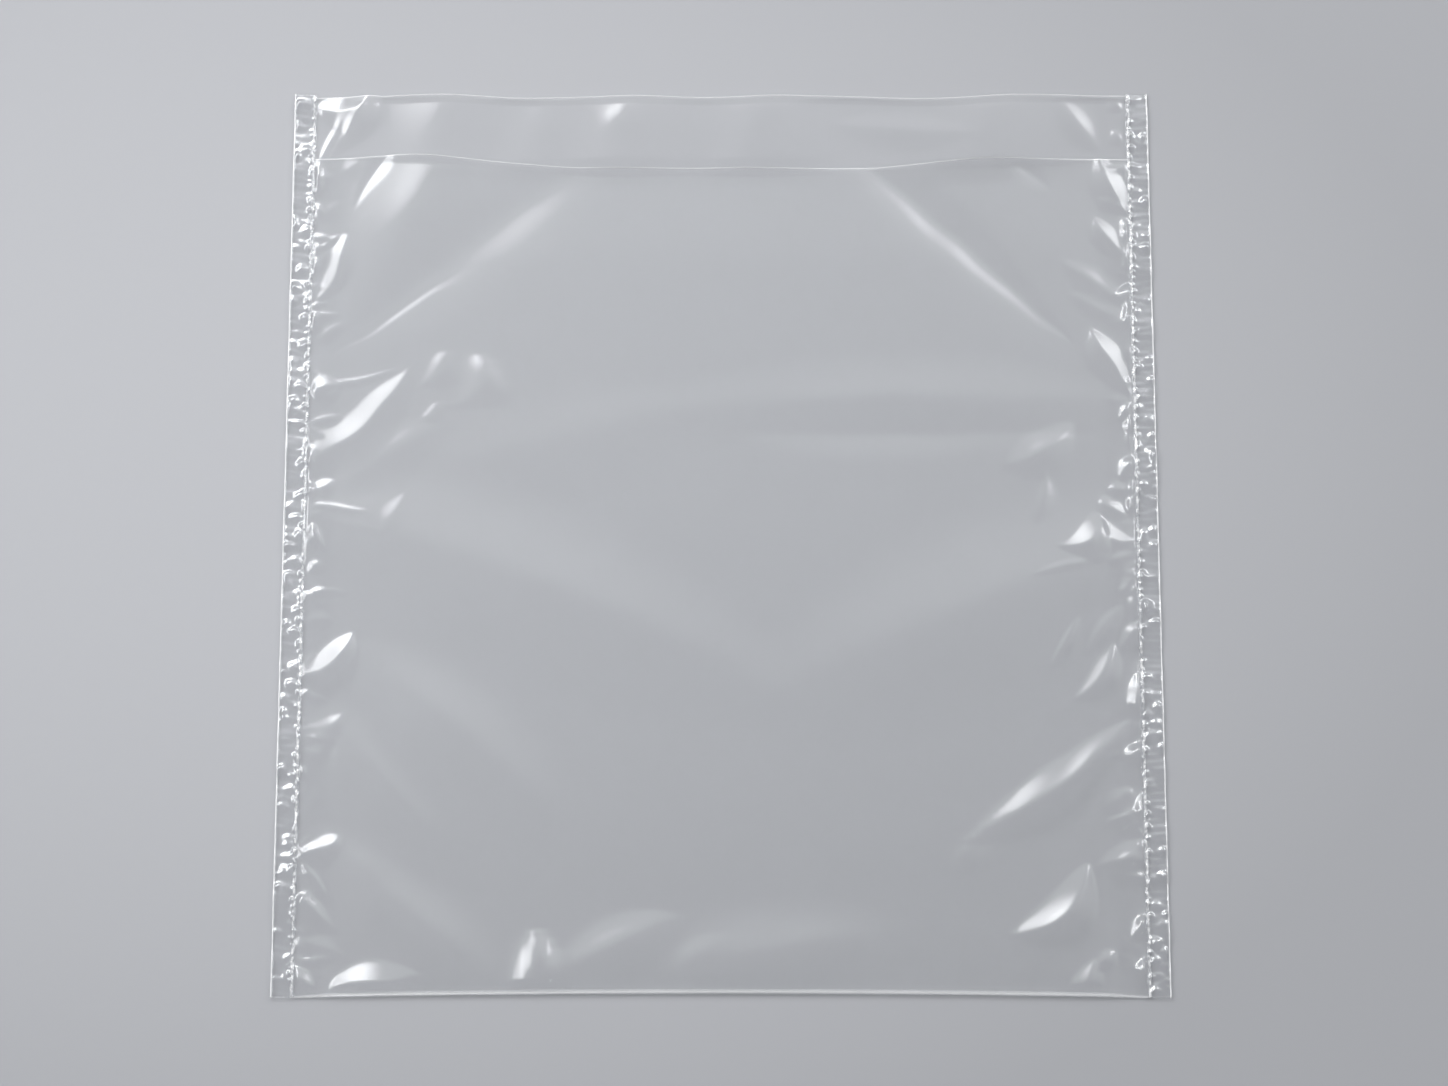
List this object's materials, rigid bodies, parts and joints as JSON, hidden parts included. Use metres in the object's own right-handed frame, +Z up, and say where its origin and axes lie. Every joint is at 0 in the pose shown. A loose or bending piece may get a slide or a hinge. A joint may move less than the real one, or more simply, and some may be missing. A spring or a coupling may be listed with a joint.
{
  "type": "plastic flat bag",
  "caption": "Clear flat film bag: bottom fold, side welds with puckered skirts, open mouth, and a back panel that runs on past the mouth as a lip.",
  "frame": {"origin": "on the table under the middle of the lying bag", "axes": "+X across the bag, +Y along it towards the mouth and lip, +Z up from the table"},
  "size_m": [0.315, 0.33, 0.008],
  "materials": {
    "film": "clear, glossy, thin film"
  },
  "bodies": {
    "root": {"bag": "film"}
  },
  "joints": []
}
